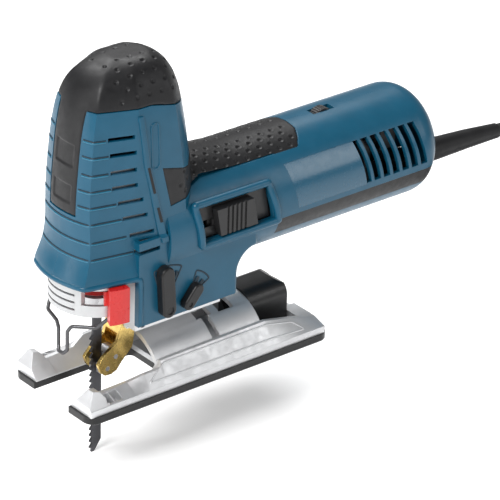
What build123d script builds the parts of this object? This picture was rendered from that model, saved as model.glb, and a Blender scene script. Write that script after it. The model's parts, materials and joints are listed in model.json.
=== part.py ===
from build123d import *
import math
import os

os.makedirs("parts", exist_ok=True)

# A barrel-grip jigsaw. Millimetres, +Z up, +X to the rear along the barrel, -Y the side with the
# switch and the levers. The origin is the middle of the sole, and Z = 0 is the work surface.

# ---- footplate ----
sole_length = 177.4
sole_width = 75.0
shoe_thickness = 4.7
shoe_lip = 1.2  # how far the plastic shoe stands out around the casting
rail_edge_z = 9.0  # top of the casting's outer edge
slot_half = 16.6  # half the width of the gap between the two prongs
slot_end_x = -18.7
arch_radius = 32.0  # saddle, round the tilt axis
arch_wall = 3.0
arch_front_x = -32.5
arch_rear_x = 45.0
tilt_bevel = 11.25  # the inner faces of the rails lie beyond y = z + this, so the fork clears them
tilt_limit = 45.0

# ---- housing ----
barrel_radius = 34.35
barrel_z = 97.2
barrel_end_x = 177.3
barrel_edge = 15.0
wall = 2.8
skin = 1.6  # thickness of the rubber overmould
leg_front_x = -51.0
leg_rear_x = 21.6
leg_half = 32.0
leg_bottom_z = 50.0
skirt_z = 79.5
cap_z = 184.0

# Column sections: height, front, rear, half width of the nose, half width of the sides, and
# where the flared flank meets the straight side.
column_sections = [
    (79.5, -88.6, 6.0, 24.0, 32.0, -48.0),
    (86.0, -87.0, 5.0, 23.5, 31.6, -42.0),
    (94.0, -84.0, 4.0, 22.5, 31.0, -34.0),
    (122.0, -82.3, 1.5, 21.0, 30.2, -38.0),
    (150.0, -80.6, -1.5, 20.5, 29.8, -45.0),
    (172.0, -78.0, -5.0, 19.5, 28.6, -48.0),
    (186.0, -74.5, -8.0, 18.0, 26.6, -49.0),
    (196.0, -69.5, -12.0, 15.0, 23.0, -48.0),
    (203.0, -61.0, -18.0, 10.5, 17.5, -46.0),
    (206.8, -50.0, -25.0, 5.5, 9.0, -42.0),
]

# ---- drive ----
plunger_x = -57.4
plunger_radius = 5.5
stroke = 26.0
crank_radius = stroke / 2
module = 0.9
pinion_teeth = 10
gear_teeth = 48
backlash = 0.12
gear_z = barrel_z + module * (pinion_teeth + gear_teeth) / 2 + backlash
gear_front_x = -40.0
gear_rear_x = -32.0
pin_z = gear_z - crank_radius
shaft_radius = 4.0
running = 0.04  # radial clearance of a turning or sliding fit
clear = 0.3  # gap between neighbours that move past each other
seat = 0.02  # gap of a pressed seat

# ---- barrel contents, as places along the barrel ----
bulkhead_front_x = -24.0
bulkhead_rear_x = -13.0
bearing_radius = 11.0
rear_bearing_radius = 9.5
rear_bearing_x = 128.0
rear_bearing_width = 7.0
fan_front_x = 19.5
fan_rear_x = 30.5
stator_front_x = 48.0
stator_rear_x = 92.0
stator_bore = 17.0
fan_radius = 24.5
rotor_gap = 0.5
winding = 6.5
commutator_x = 104.0
commutator_width = 14.0
commutator_radius = 11.0

# ---- blade and front ----
blade_back_x = -53.4
blade_body = 6.2
blade_tooth = 1.9
tooth_pitch = 4.0
blade_thickness = 1.4
blade_tip_z = -43.2
clamp_bottom_z = 50.0
clamp_top_z = 62.0
clamp_radius = 9.5
lower_bush_z = 89.5
lower_bush_height = 10.5
upper_bush_z = 150.0
upper_bush_height = 9.0
plunger_top_z = 161.0
guard_radius = 27.5  # of the guard's flanks, round the plunger
guard_bottom_z = 59.5
guard_wall = 2.2

slot_z0, slot_z1 = 67.0, 76.0  # the release lever's window in the guard
ring_outer = 15.0
ring_z0, ring_height = slot_z0, 3.5

# ---- roller fork ----
fork_half = 7.6
fork_arm = 2.2
fork_pivot_x = -38.5
fork_pivot_z = 43.0
roller_radius = 4.9
roller_x = blade_back_x + clear + roller_radius
roller_z = 19.5
jaw_pin_x = -54.0
jaw_pin_z = 13.4
roller_width = 6.0
roller_pin_radius = 1.5
fork_pin_radius = 2.0

# ---- cord ----
cord_radius = 4.0
cord_floor_z = blade_tip_z
sleeve_front_x = 168.0
sleeve_tail_x = 152.0
sleeve_rear_x = 251.0
sleeve_z = 79.5
sleeve_drop = 2.5
tube_z = sleeve_z - sleeve_drop


def hull_solid(inset):
    """The closed outer form of the housing, moved inwards by inset on every side."""
    with BuildPart() as column:
        for z, front, rear, nose, side, flank in column_sections:
            top = z > cap_z
            with BuildSketch(Plane.XY.offset(z - (inset if top else 0))):
                with BuildLine():
                    nose_x = front + inset + nose * 0.22
                    back_x = rear - inset - side * 0.62
                    n, s = nose - inset * 0.7, side - inset
                    a = ThreePointArc((nose_x, n), (front + inset, 0), (nose_x, -n))
                    Polyline(a @ 1, (flank, -s), (back_x, -s))
                    ThreePointArc((back_x, -s), (rear - inset, 0), (back_x, s))
                    Polyline((back_x, s), (flank, s), a @ 0)
                make_face()
        loft()
    with BuildPart() as barrel:
        with BuildSketch(Plane.YZ.offset(-30)):
            with Locations((0, barrel_z)):
                Circle(barrel_radius - inset)
        extrude(amount=barrel_end_x - inset + 30)
        fillet(barrel.edges().sort_by(Axis.X)[-1], barrel_edge - inset)
    with BuildPart() as leg:
        with BuildSketch(Plane.XZ):
            with BuildLine():
                r = 14.4
                top = barrel_z + 6
                x0, x1 = leg_front_x + inset, leg_rear_x - inset
                a = Polyline((30, top), (x0, top), (x0, leg_bottom_z), (x1, leg_bottom_z), (x1, 62))
                b = ThreePointArc(
                    a @ 1,
                    (x1 + r - r * math.cos(math.pi / 4), 62 + r * math.sin(math.pi / 4)),
                    (x1 + r, 62 + r),
                )
                Polyline(b @ 1, (x1 + r, top), a @ 0)
            make_face()
        extrude(amount=leg_half - inset, both=True)
        fillet(leg.edges().filter_by(Axis.Z).sort_by(Axis.X)[-4:], 3)
    with BuildPart() as hull:
        add(column.part)
        add(barrel.part)
        add(leg.part)
    return hull.part


hull_outer = hull_solid(0)
hull_skin = hull_solid(skin)
hull_cavity = hull_solid(wall)


def side_prism(points, half):
    """A prism across the tool, with its outline given in the side view."""
    with BuildPart() as prism:
        with BuildSketch(Plane.XZ):
            with BuildLine():
                Polyline(*points, close=True)
            make_face()
        extrude(amount=half, both=True)
    return prism.part


def ring_x(x0, x1, outer, inner, z, y=0.0):
    """A ring round an axis along the barrel."""
    with BuildPart() as ring:
        with BuildSketch(Plane.YZ.offset(x0)):
            with Locations((y, z)):
                Circle(outer)
                Circle(inner, mode=Mode.SUBTRACT)
        extrude(amount=x1 - x0)
    return ring.part


# ================= rubber overmoulds =================
cap_line = [(-95, cap_z), (-40, cap_z), (15, cap_z - 12), (15, 215), (-95, 215)]
strip_bottom_z = 121.0
strip_half = 12.0
with BuildPart() as cap_region:
    add(side_prism(cap_line, 40))
    with Locations((-82, 0, (strip_bottom_z + cap_z + 2) / 2)):
        Box(20, 2 * strip_half, cap_z + 2 - strip_bottom_z)
with BuildPart() as knob_grip:
    add(hull_outer)
    add(hull_skin, mode=Mode.SUBTRACT)
    add(cap_region.part, mode=Mode.INTERSECT)

saddle_line = [(-33.7, 145), (-27.6, 119.5), (-9.9, 122.5), (1, 125), (73, 124.5), (80, 130), (82, 142),
               (2, 142), (-10, 139)]
barrel_region = side_prism(saddle_line, 40)
with BuildPart() as barrel_grip:
    add(hull_outer)
    add(hull_skin, mode=Mode.SUBTRACT)
    add(barrel_region, mode=Mode.INTERSECT)

stripe_z0, stripe_z1 = 78.5, 89.5
stripe_x0, stripe_x1 = 50.0, 169.5
label_x0, label_x1, label_z0, label_z1 = 58.0, 110.0, 93.0, 119.5


def side_region(x0, x1, z0, z1, lean, side):
    """A block over one side of the barrel, leaning like the edges of the label and the vents."""
    with BuildPart() as region:
        with BuildSketch(Plane.XZ):
            with BuildLine():
                Polyline((x0 + lean, z0), (x1 + lean, z0), (x1, z1), (x0, z1), close=True)
            make_face()
        extrude(amount=-40 * side)
    return region.part


strips, labels = {}, {}
for word, side in (("left", 1), ("right", -1)):
    with BuildPart() as strip:
        add(hull_outer)
        add(hull_skin, mode=Mode.SUBTRACT)
        add(side_region(stripe_x0, stripe_x1, stripe_z0, stripe_z1, 0, side), mode=Mode.INTERSECT)
    strips[word] = strip
    with BuildPart() as plate:
        add(hull_outer)
        add(hull_solid(0.8), mode=Mode.SUBTRACT)
        add(side_region(label_x0, label_x1, label_z0, label_z1, 6, side), mode=Mode.INTERSECT)
    labels[word] = plate

# ================= housing halves =================
recess_x0, recess_x1, recess_z0, recess_z1 = -9.0, 41.0, 92.0, 113.0
vent_x0, vent_pitch, vent_width, vent_count = 108.5, 7.3, 5.0, 7
vent_z0, vent_z1 = 94.0, 119.5
groove_z = [97.0, 107.2, 118.6, 128.9, 138.7, 148.4, 158.9, 168.4]
groove_end_x = [-36.2, -38.5, -43.0, -46.0, -49.6, -50.4, -50.6, -51.4]
groove_height = 2.4
groove_run = 15.0
dial_x, dial_radius, dial_width = 107.0, 8.0, 6.0
dial_z = barrel_z + barrel_radius - dial_radius + 1.2
cord_hole_radius = 7.6
lever_pivot = (-32.5, 57.5)
blower_pivot = (-17.5, 56.5)
boss_radius = 3.0
foot_screw = (4.0, 70.0)
screw_places = [(-24, 173.5), (2, 118), foot_screw, (144, 72), (163, 118)]
screw_head = 3.2
screw_hole = 1.7
screw_boss = 4.6
head_y = 15.0  # the screws go in from the side without the switch
screw_tip_y = -14.0

with BuildPart() as bosses:
    for x, z in screw_places:
        with Locations(Location((x, 0, z), (90, 0, 0))):
            Cylinder(screw_boss, 80)
    add(hull_outer, mode=Mode.INTERSECT)

with BuildPart() as shell:
    add(hull_outer)
    add(hull_cavity, mode=Mode.SUBTRACT)
    add(bosses.part)
    add(knob_grip.part, mode=Mode.SUBTRACT)
    add(barrel_grip.part, mode=Mode.SUBTRACT)
    for word in ("left", "right"):
        add(strips[word].part, mode=Mode.SUBTRACT)
        add(labels[word].part, mode=Mode.SUBTRACT)
    # The leg is open in front, where the gear case and the blade clamp stand out of it.
    with Locations((leg_front_x, 0, (leg_bottom_z + skirt_z) / 2)):
        Box(4 * wall, 2 * (leg_half - 1.3 * wall), skirt_z - leg_bottom_z, mode=Mode.SUBTRACT)
    # Window for the switch, vents beside the motor and vents in the grooves of the column.
    add(side_region(recess_x0, recess_x1, recess_z0, recess_z1, 4, -1), mode=Mode.SUBTRACT)
    for side in (1, -1):
        for i in range(vent_count):
            x = vent_x0 + i * vent_pitch
            slot = side_region(x, x + vent_width, vent_z0, vent_z1, 6, side)
            add(slot, mode=Mode.SUBTRACT)
        for z, x in zip(groove_z, groove_end_x):
            slot = side_region(x - groove_run, x, z - groove_height / 2, z + groove_height / 2, 0, side)
            add(slot, mode=Mode.SUBTRACT)
    with Locations((dial_x, 0, barrel_z + barrel_radius)):
        Box(2 * dial_radius, dial_width + 2 * clear, 12, mode=Mode.SUBTRACT)
    with Locations(Location((barrel_end_x - 8, 0, sleeve_z), (0, 90, 0))):
        Cylinder(cord_hole_radius + seat, 30, mode=Mode.SUBTRACT)
    for x, z in (lever_pivot, blower_pivot):
        with Locations(Location((x, -leg_half, z), (90, 0, 0))):
            Cylinder(boss_radius + running, 12, mode=Mode.SUBTRACT)
    for x, z in screw_places:
        with Locations(Location((x, (screw_tip_y + 40) / 2, z), (90, 0, 0))):
            Cylinder(screw_hole, 40 - screw_tip_y, mode=Mode.SUBTRACT)
        with Locations(Location((x, (head_y + 40) / 2, z), (90, 0, 0))):
            Cylinder(screw_head, 40 - head_y, mode=Mode.SUBTRACT)

housing = {}
for word in ("left", "right"):
    with BuildPart() as half:
        add(shell.part)
        split(bisect_by=Plane.XZ, keep=Keep.BOTTOM if word == "left" else Keep.TOP)
    housing[word] = half

# ================= gear case, bulkhead and guides =================
case_floor_z = 89.0
case_top_z = 150.0
case_half = 25.5
foot_top_z = 84.0
foot_rear_x = 18.0
case_wall = 2.6
foot_z = 40.0
foot_half = 20.0
foot_front_x = -44.0
case_outline = [(-73, -14), (-69, -20), (-46, -case_half), (bulkhead_front_x, -case_half),
                (bulkhead_front_x, case_half), (-46, case_half), (-69, 20), (-73, 14)]
keel_half = 2.0
bolt_x = 12.0
bolt_radius = 2.5

with BuildPart() as case_limits:
    add(hull_solid(wall + clear))
    with Locations(((foot_front_x + foot_rear_x) / 2, 0, foot_top_z / 2)):
        Box(foot_rear_x - foot_front_x, 2 * foot_half, foot_top_z)

with BuildPart() as gear_case:
    with BuildSketch(Plane.XY.offset(case_floor_z)):
        with BuildLine():
            Polyline(*case_outline, close=True)
        make_face()
    extrude(amount=case_top_z - case_floor_z)
    with BuildSketch(Plane.XY.offset(case_floor_z + case_wall)):
        with BuildLine():
            Polyline(*case_outline, close=True)
        make_face()
        offset(amount=-case_wall, mode=Mode.REPLACE)
    extrude(amount=case_top_z - case_floor_z - 2 * case_wall, mode=Mode.SUBTRACT)
    with Locations((bulkhead_front_x, 0, (case_floor_z + case_top_z) / 2)):
        Box(4 * case_wall, 2 * (case_half - case_wall), case_top_z - case_floor_z - 2 * case_wall,
            mode=Mode.SUBTRACT)
    # Foot: the block behind the blade that carries the fork and bears on the saddle.
    with Locations(((foot_front_x + foot_rear_x) / 2, 0, (foot_z + foot_top_z) / 2)):
        Box(foot_rear_x - foot_front_x, 2 * foot_half, foot_top_z - foot_z)
    with Locations(((foot_front_x + bulkhead_front_x) / 2, 0, (foot_top_z + case_floor_z) / 2)):
        Box(bulkhead_front_x - foot_front_x, 2 * foot_half, case_floor_z - foot_top_z)
    with Locations((-13, 0, (foot_z + 10 + foot_top_z) / 2)):
        Box(44, 2 * (foot_half - 3), foot_top_z - 4 - foot_z - 6, mode=Mode.SUBTRACT)
    with Locations((-1, 0, foot_top_z)):
        Box(20, 2 * (foot_half - 3), 16, mode=Mode.SUBTRACT)
    # Keel that bears on the saddle, and the seat of the clamp bolt.
    with Locations((-7, 0, (foot_z + arch_radius + clear) / 2)):
        Box(44, 2 * keel_half, foot_z - arch_radius - clear)
    with Locations((bolt_x, 0, foot_z)):
        Cylinder(bolt_radius + seat, 40, mode=Mode.SUBTRACT)
    # Ears for the fork's pin.
    for y in (-fork_half - clear - 1.5, fork_half + clear + 1.5):
        with Locations((fork_pivot_x, y, (fork_pivot_z + foot_z + 6) / 2)):
            Box(9, 3.0, 14)
    with Locations((fork_pivot_x, 0, foot_z + 3)):
        Box(12.5, 2 * (fork_half + clear), 20, mode=Mode.SUBTRACT)
    with Locations(Location((fork_pivot_x, 0, fork_pivot_z), (90, 0, 0))):
        Cylinder(fork_pin_radius + seat, 60, mode=Mode.SUBTRACT)
    # Holes for the screw boss that runs through the foot, and a pocket for the release ring.
    with Locations(Location((foot_screw[0], 0, foot_screw[1]), (90, 0, 0))):
        Cylinder(screw_boss + clear, 80, mode=Mode.SUBTRACT)
    with Locations((plunger_x, 0, ring_z0 + ring_height / 2)):
        Cylinder(ring_outer + clear, ring_height + 2 * clear, mode=Mode.SUBTRACT)
    # Seats of the bushes.
    with Locations((plunger_x, 0, case_floor_z)):
        Cylinder(plunger_radius + 4, 30, mode=Mode.SUBTRACT)
    with Locations((plunger_x, 0, case_top_z)):
        Cylinder(plunger_radius + 3, 30, mode=Mode.SUBTRACT)
    add(case_limits.part, mode=Mode.INTERSECT)

with BuildPart() as bulkhead:
    with BuildSketch(Plane.YZ.offset(bulkhead_front_x + seat)):
        with Locations((0, (foot_top_z + seat + case_top_z) / 2)):
            RectangleRounded(2 * case_half + 2.6, case_top_z - foot_top_z - seat, 8)
    extrude(amount=bulkhead_rear_x - bulkhead_front_x - seat)
    add(case_limits.part, mode=Mode.INTERSECT)
    with Locations(Location((bulkhead_front_x, 0, barrel_z), (0, 90, 0))):
        Cylinder(bearing_radius + seat, 18, mode=Mode.SUBTRACT)
        Cylinder(shaft_radius + 2.5, 60, mode=Mode.SUBTRACT)
    with Locations(Location((bulkhead_front_x, 0, gear_z), (0, 90, 0))):
        Cylinder(3.0 + seat, 60, mode=Mode.SUBTRACT)
    with Locations(Location((bulkhead_rear_x, 0, barrel_z), (0, 90, 0))):
        Cylinder(17, 6, mode=Mode.SUBTRACT)

gear_pin = ring_x(gear_front_x - 1.0, bulkhead_rear_x, 3.0, 0.8, gear_z)
front_bearing = ring_x(bulkhead_front_x + clear, bulkhead_front_x + 8.7, bearing_radius,
                       shaft_radius + running, barrel_z)
rear_bearing = ring_x(rear_bearing_x, rear_bearing_x + rear_bearing_width, rear_bearing_radius,
                      shaft_radius + running, barrel_z)
with BuildPart() as rear_bearing_cap:
    add(ring_x(rear_bearing_x - 3, rear_bearing_x + rear_bearing_width + 2, rear_bearing_radius + 3,
               rear_bearing_radius + seat, barrel_z))
    for angle in range(0, 360, 90):
        with Locations(Location((rear_bearing_x + 3, 0, barrel_z), (angle + 45, 0, 0))):
            with Locations((0, 0, (rear_bearing_radius + barrel_radius - wall) / 2 + 1.2)):
                Box(10, 4, barrel_radius - wall - rear_bearing_radius - 2.6)

with BuildPart() as guide_bushes:
    for z, height, outer in ((lower_bush_z, lower_bush_height, plunger_radius + 4),
                             (upper_bush_z - case_wall, upper_bush_height, plunger_radius + 3)):
        with Locations((plunger_x, 0, z + height / 2)):
            Cylinder(outer - seat, height)
            Cylinder(plunger_radius + running, height, mode=Mode.SUBTRACT)


# ================= gears =================
def spur(teeth, x0, x1, z, bore, turn):
    """A spur gear whose teeth are trapezoids on its pitch circle, with its first tooth at turn."""
    pitch = module * teeth / 2
    root, tip = pitch - 1.2 * module, pitch + 0.95 * module
    step = 360 / teeth
    with BuildPart() as gear:
        with BuildSketch(Plane.YZ.offset(x0)):
            with Locations((0, z)):
                Circle(root)
                half_root = root * math.radians(step) * 0.32
                half_tip = tip * math.radians(step) * 0.13
                with PolarLocations(0, teeth, turn):
                    Polygon((root * 0.97, -half_root), (tip, -half_tip), (tip, half_tip),
                            (root * 0.97, half_root), align=None)
                if bore:
                    Circle(bore, mode=Mode.SUBTRACT)
        extrude(amount=x1 - x0)
    return gear.part


web_recess = 2.0
crank_pin_radius = 3.0
yoke_room = 3.6  # half height of the yoke's slot
yoke_wall = 3.6
with BuildPart() as drive_gear:
    add(spur(gear_teeth, gear_front_x, gear_rear_x, gear_z, 3.0 + running, 90 + 180 / gear_teeth))
    with BuildSketch(Plane.YZ.offset(gear_rear_x)):
        with Locations((0, gear_z)):
            Circle(17.5)
            Circle(7, mode=Mode.SUBTRACT)
    extrude(amount=-web_recess, mode=Mode.SUBTRACT)
    with BuildSketch(Plane.YZ.offset(gear_rear_x - web_recess)):
        with Locations((0, gear_z + 12), (11.5, gear_z + 2), (-11.5, gear_z + 2)):
            Circle(3.2)
    extrude(amount=-10, mode=Mode.SUBTRACT)
with BuildPart() as counterweight:
    with BuildSketch(Plane.YZ.offset(gear_rear_x - web_recess + seat)):
        with Locations((0, gear_z)):
            Circle(17)
            Circle(7.5, mode=Mode.SUBTRACT)
            with Locations((0, -20)):
                Rectangle(60, 40 - 14, mode=Mode.SUBTRACT)
    extrude(amount=3.5)
yoke_front_x = plunger_x + plunger_radius - 1.0
yoke_rear_x = yoke_front_x + 6.0
with BuildPart() as crank_pin:
    with BuildSketch(Plane.YZ.offset(gear_front_x)):
        with Locations((0, pin_z)):
            Circle(crank_pin_radius)
    extrude(amount=-(gear_front_x - yoke_rear_x - clear))
with BuildPart() as armature_shaft:
    add(ring_x(gear_rear_x + 1, rear_bearing_x + rear_bearing_width + 1, shaft_radius, 0.6, barrel_z))
    add(spur(pinion_teeth, gear_front_x, gear_rear_x + 1.2, barrel_z, 0, 90))

# ================= motor =================
cavity_radius = barrel_radius - wall
with BuildPart() as stator_core:
    add(ring_x(stator_front_x, stator_rear_x, cavity_radius - clear, stator_bore, barrel_z))
    for side in (1, -1):
        with Locations(((stator_front_x + stator_rear_x) / 2, side * (stator_bore + 5.5), barrel_z)):
            Box(60, 8, 18, mode=Mode.SUBTRACT)
with BuildPart() as field_coils:
    for x in (stator_front_x - winding, stator_rear_x):
        with BuildSketch(Plane.YZ.offset(x)):
            with Locations((0, barrel_z)):
                Circle(25.0)
                Circle(stator_bore + 1.5, mode=Mode.SUBTRACT)
                Rectangle(70, 12, mode=Mode.SUBTRACT)
        extrude(amount=winding)
with BuildPart() as armature_core:
    with BuildSketch(Plane.YZ.offset(stator_front_x + 2)):
        with Locations((0, barrel_z)):
            Circle(stator_bore - rotor_gap)
            with PolarLocations(stator_bore - 3.2, 12):
                Rectangle(5.0, 2.6, mode=Mode.SUBTRACT)
            Circle(shaft_radius + seat, mode=Mode.SUBTRACT)
    extrude(amount=stator_rear_x - stator_front_x - 4)
with BuildPart() as commutator:
    with BuildSketch(Plane.YZ.offset(commutator_x)):
        with Locations((0, barrel_z)):
            Circle(commutator_radius)
            with PolarLocations(commutator_radius, 24):
                Rectangle(2.0, 0.6, mode=Mode.SUBTRACT)
            Circle(shaft_radius + seat, mode=Mode.SUBTRACT)
    extrude(amount=commutator_width)
with BuildPart() as cooling_fan:
    add(ring_x(fan_front_x, fan_rear_x, 8, shaft_radius + seat, barrel_z))
    add(ring_x(fan_rear_x - 1.6, fan_rear_x, fan_radius, 7, barrel_z))
    for i in range(11):
        with Locations(Location(((fan_front_x + fan_rear_x) / 2, 0, barrel_z), (i * 360 / 11, 0, 0))):
            with Locations((0, 0, (fan_radius + 7) / 2)):
                Box(fan_rear_x - fan_front_x, 1.4, fan_radius - 7)
brush_z = barrel_z
holder_x = commutator_x + commutator_width / 2
with BuildPart() as brush_holders:
    for side in (1, -1):
        with Locations((holder_x, side * 22.0, brush_z)):
            Box(11, 17, 10)
            Box(7.4, 17.1, 6.4, mode=Mode.SUBTRACT)
        with Locations((holder_x, side * 30.6, brush_z)):
            Box(11, 1.0, 10)
    with BuildSketch(Plane.YZ.offset(holder_x + 5.5)):
        with Locations((0, barrel_z)):
            Circle(cavity_radius - clear)
            Circle(20, mode=Mode.SUBTRACT)
            Rectangle(80, 10.0 + 2 * seat, mode=Mode.SUBTRACT)
    extrude(amount=3.6)
with BuildPart() as carbon_brushes:
    for side in (1, -1):
        with Locations((holder_x, side * 20.0, brush_z)):
            Box(7.2, 17.0, 6.2)

# ================= plunger, yoke, clamp, blade =================
yoke_half = crank_radius + yoke_room + yoke_wall
yoke_height = 2 * (yoke_room + yoke_wall) + 1.2
with BuildPart() as plunger:
    with Locations((plunger_x, 0, (plunger_top_z + clamp_top_z) / 2)):
        Cylinder(plunger_radius, plunger_top_z - clamp_top_z)
    fillet(plunger.edges().group_by(Axis.Z)[-1], 1)
    with Locations((yoke_front_x + 3, 0, pin_z)):
        Box(6, 2 * plunger_radius + 2, yoke_height + 2 * seat, mode=Mode.SUBTRACT)
with BuildPart() as yoke:
    with BuildSketch(Plane.YZ.offset(yoke_front_x)):
        with Locations((0, pin_z)):
            RectangleRounded(2 * yoke_half, yoke_height, 4)
            RectangleRounded(2 * (yoke_half - yoke_wall), 2 * yoke_room, yoke_room - 0.1, mode=Mode.SUBTRACT)
    extrude(amount=6)
with BuildPart() as blade_clamp:
    with Locations((plunger_x, 0, (clamp_bottom_z + clamp_top_z) / 2)):
        Cylinder(clamp_radius, clamp_top_z - clamp_bottom_z)
    chamfer(blade_clamp.edges().group_by(Axis.Z)[0], 1.5)
    with Locations((plunger_x, 0, clamp_bottom_z + 4.5)):
        Box(9.0, blade_thickness + 0.3, 9.01, mode=Mode.SUBTRACT)
blade_front_x = blade_back_x - blade_body
teeth = int((clamp_bottom_z - 6 - blade_tip_z - 8) / tooth_pitch)
with BuildPart() as saw_blade:
    with BuildSketch(Plane.XZ):
        with BuildLine():
            points = [(blade_back_x, clamp_bottom_z + 8.5), (blade_back_x, blade_tip_z + 7),
                      (blade_front_x + 1.4, blade_tip_z), (blade_front_x - 0.6, blade_tip_z)]
            z = blade_tip_z + 2.0
            for i in range(teeth):
                points += [(blade_front_x, z), (blade_front_x - blade_tooth, z + 0.9)]
                points += [(blade_front_x, z + tooth_pitch - 0.5)]
                z += tooth_pitch
            points += [(blade_front_x, clamp_bottom_z + 8.5)]
            Polyline(*points, close=True)
        make_face()
    extrude(amount=blade_thickness / 2, both=True)
    with Locations((blade_back_x + 1, 0, clamp_bottom_z + 5)):
        Box(4, 4, 3, mode=Mode.SUBTRACT)

# ================= guard and release lever =================
guard_front_x = -84.6


def guard_outline(out):
    """The guard's outline from above, moved outwards by out; its flanks are round the plunger."""
    r = guard_radius + out
    corner = math.radians(217)
    cx, cy = plunger_x + r * math.cos(corner), r * math.sin(corner)
    with BuildLine() as line:
        a = Line((leg_front_x - 1, -r), (plunger_x, -r))
        mid = math.radians(243.5)
        b = ThreePointArc(a @ 1, (plunger_x + r * math.cos(mid), r * math.sin(mid)), (cx, cy))
        c = ThreePointArc(b @ 1, (guard_front_x - out, 0), (cx, -cy))
        d = ThreePointArc(c @ 1, (plunger_x + r * math.cos(mid), -r * math.sin(mid)), (plunger_x, r))
        Line(d @ 1, (leg_front_x - 1, r))
        Line((leg_front_x - 1, r), (leg_front_x - 1, -r))
    return line.line


def guard_block(out, z0, z1):
    with BuildPart() as block:
        with BuildSketch(Plane.XY.offset(z0)):
            add(guard_outline(out))
            make_face()
        extrude(amount=z1 - z0)
    return block.part


with BuildPart() as front_guard:
    add(guard_block(0, guard_bottom_z, skirt_z - seat))
    add(guard_block(-guard_wall, guard_bottom_z - 1, skirt_z + 1), mode=Mode.SUBTRACT)
    # Window for the release lever, open to the rear on the near side.
    with Locations((-66, -29, (slot_z0 + slot_z1) / 2)):
        Box(32, 26, slot_z1 - slot_z0 + 2 * clear, mode=Mode.SUBTRACT)
    with Locations((-56, -26, guard_bottom_z + 9)):
        Box(12, 12, 22, mode=Mode.SUBTRACT)
    for i in range(4):
        with Locations((guard_front_x, 3, guard_bottom_z + 3.5 + 4.6 * i)):
            Box(16, 31, 1.3, mode=Mode.SUBTRACT)


def ring_z(r0, r1, z0, z1):
    """A ring round the plunger."""
    with BuildPart() as ring:
        with Locations((plunger_x, 0, (z0 + z1) / 2)):
            Cylinder(r1, z1 - z0)
            Cylinder(r0, z1 - z0, mode=Mode.SUBTRACT)
    return ring.part


def sector(r0, r1, a0, a1, z0, z1):
    """Part of a ring round the plunger between two angles, in degrees."""
    far = 90
    corners = [(far * math.cos(math.radians(a)), far * math.sin(math.radians(a)))
               for a in (a0, (a0 + a1) / 2, a1)]
    with BuildPart() as piece:
        with BuildSketch(Plane.XY.offset(z0)):
            with Locations((plunger_x, 0)):
                Circle(r1)
                Circle(r0, mode=Mode.SUBTRACT)
                Polygon((0, 0), *corners, align=None, mode=Mode.INTERSECT)
        extrude(amount=z1 - z0)
    return piece.part


with BuildPart() as release_lever:
    add(sector(guard_radius - guard_wall, guard_radius + 0.4, 243, 268, slot_z0, slot_z1))
    add(sector(guard_radius + 0.3, guard_radius + 6.2, 247, 268, 57.0, 79.0))
    add(sector(ring_outer - 1.5, guard_radius - 1, 256, 266, ring_z0, ring_z0 + ring_height))
    add(ring_z(ring_outer - 4, ring_outer, ring_z0, ring_z0 + ring_height))

# ================= wire guard =================
wire_radius = 1.1
wire_path = [(-64.5, -25.0, guard_bottom_z - clear), (-70, -18, 50), (-79, -6, 48.6), (-80.5, -4.2, 45), (-80.5, -4.2, 33),
             (-82, -2.2, 30.4), (-82, 2.2, 30.4), (-80.5, 4.2, 33), (-80.5, 4.2, 44), (-80.5, 6, 48),
             (-83.2, 11, 54), (-80.6, 12.5, guard_bottom_z - clear)]
with BuildPart() as wire_guard:
    with BuildLine() as wire_line:
        FilletPolyline(*wire_path, radius=[3.5, 3, 1.5, 1.4, 1.4, 1.4, 1.4, 2, 1.5, 2.5])
    with BuildSketch(Plane(wire_line.line @ 0, z_dir=wire_line.line % 0)):
        Circle(wire_radius)
    sweep()

# ================= roller fork =================
fork_side = [(-61.0, 17.5), (-59.0, 12.0), (-56.0, 9.4), (-51.5, 9.0), (-47.5, 10.6), (-44, 15),
             (-36.4, 22.5), (-35.2, 29), (-35.2, fork_pivot_z + 3.4), (-42, fork_pivot_z + 3.4),
             (-45.5, 34), (-47, 29), (-57, 22)]


def cross_pin(x, z, radius, half):
    """A pin across the tool."""
    with BuildPart() as pin:
        with Locations(Location((x, 0, z), (90, 0, 0))):
            Cylinder(radius, 2 * half)
    return pin.part


with BuildPart() as roller_fork:
    add(side_prism(fork_side, fork_half))
    add(side_prism([(-70, 0), (-41, 0), (-41, 27), (-44, 33), (-70, 33)], fork_half - fork_arm),
        mode=Mode.SUBTRACT)
    add(cross_pin(fork_pivot_x, fork_pivot_z, fork_pin_radius + running, 20), mode=Mode.SUBTRACT)
    add(cross_pin(roller_x, roller_z, roller_pin_radius + seat, 20), mode=Mode.SUBTRACT)
    add(cross_pin(jaw_pin_x, jaw_pin_z, roller_pin_radius + seat, 20), mode=Mode.SUBTRACT)
fork_pivot_pin = cross_pin(fork_pivot_x, fork_pivot_z, fork_pin_radius, fork_half + clear + 3.2)
roller_pin = cross_pin(roller_x, roller_z, roller_pin_radius, fork_half)
with BuildPart() as guide_roller:
    add(cross_pin(roller_x, roller_z, roller_radius, roller_width / 2))
    add(cross_pin(roller_x, roller_z, roller_pin_radius + running, 10), mode=Mode.SUBTRACT)
jaw_gap = blade_thickness / 2 + clear
jaw_outer = fork_half - fork_arm - 0.1
with BuildPart() as guide_jaws:
    for side in (1, -1):
        with Locations((jaw_pin_x - 0.9, side * (jaw_gap + jaw_outer) / 2, jaw_pin_z - 0.4)):
            Box(5.4, jaw_outer - jaw_gap, 5.6)
        middle = side * (jaw_gap + 0.5 + fork_half) / 2
        with Locations(Location((jaw_pin_x, middle, jaw_pin_z), (90, 0, 0))):
            Cylinder(roller_pin_radius, fork_half - jaw_gap - 0.5)

# ================= levers =================
lever_face_y = -(leg_half + clear)
lever_boss = 7.2


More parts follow.
